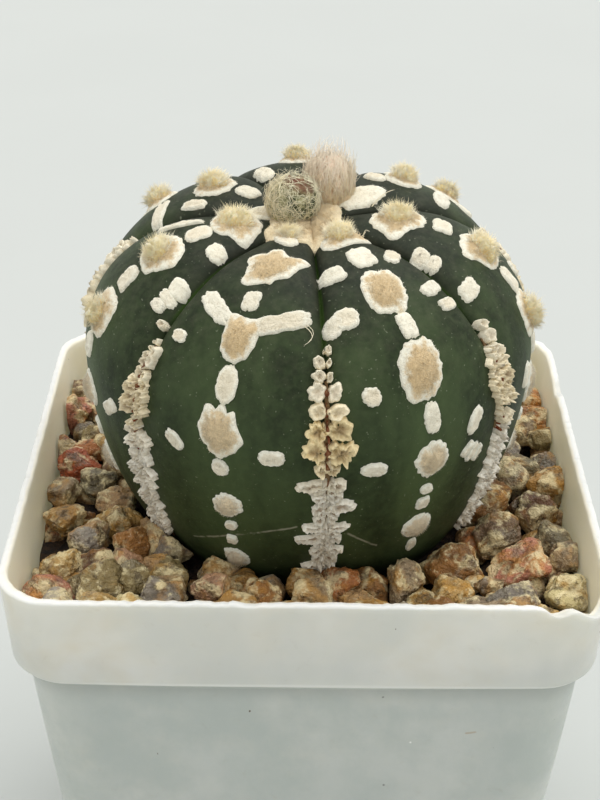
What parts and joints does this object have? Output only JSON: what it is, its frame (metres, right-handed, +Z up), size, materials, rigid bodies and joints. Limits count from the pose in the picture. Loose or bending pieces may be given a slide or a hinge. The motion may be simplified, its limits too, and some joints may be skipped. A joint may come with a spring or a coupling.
{
  "type": "potted sand dollar cactus",
  "caption": "Low ribbed round cactus with felted white flecks, woolly areoles and buds at the crown, standing in a square tapered nursery pot of potting mix topped with grit.",
  "frame": {"origin": "middle of the pot's underside", "axes": "+Z up, -Y towards the plant's front, +X to the viewer's right"},
  "size_m": [0.075, 0.075, 0.1095],
  "materials": {
    "pot": "thin translucent white plastic, satin",
    "soil": "damp crumbly potting mix",
    "gravel": "rough broken granite grit in ochre, brown, grey and salmon",
    "cactus": "satin dark green skin with felted cream-white marks",
    "bud_front": "grey-green cobwebby wool over dark scales",
    "bud_back": "pinkish tan wool"
  },
  "bodies": {
    "root": {"pot": "pot", "soil": "soil", "gravel": "gravel", "cactus": "cactus", "bud_front": "bud_front", "bud_back": "bud_back"}
  },
  "joints": []
}
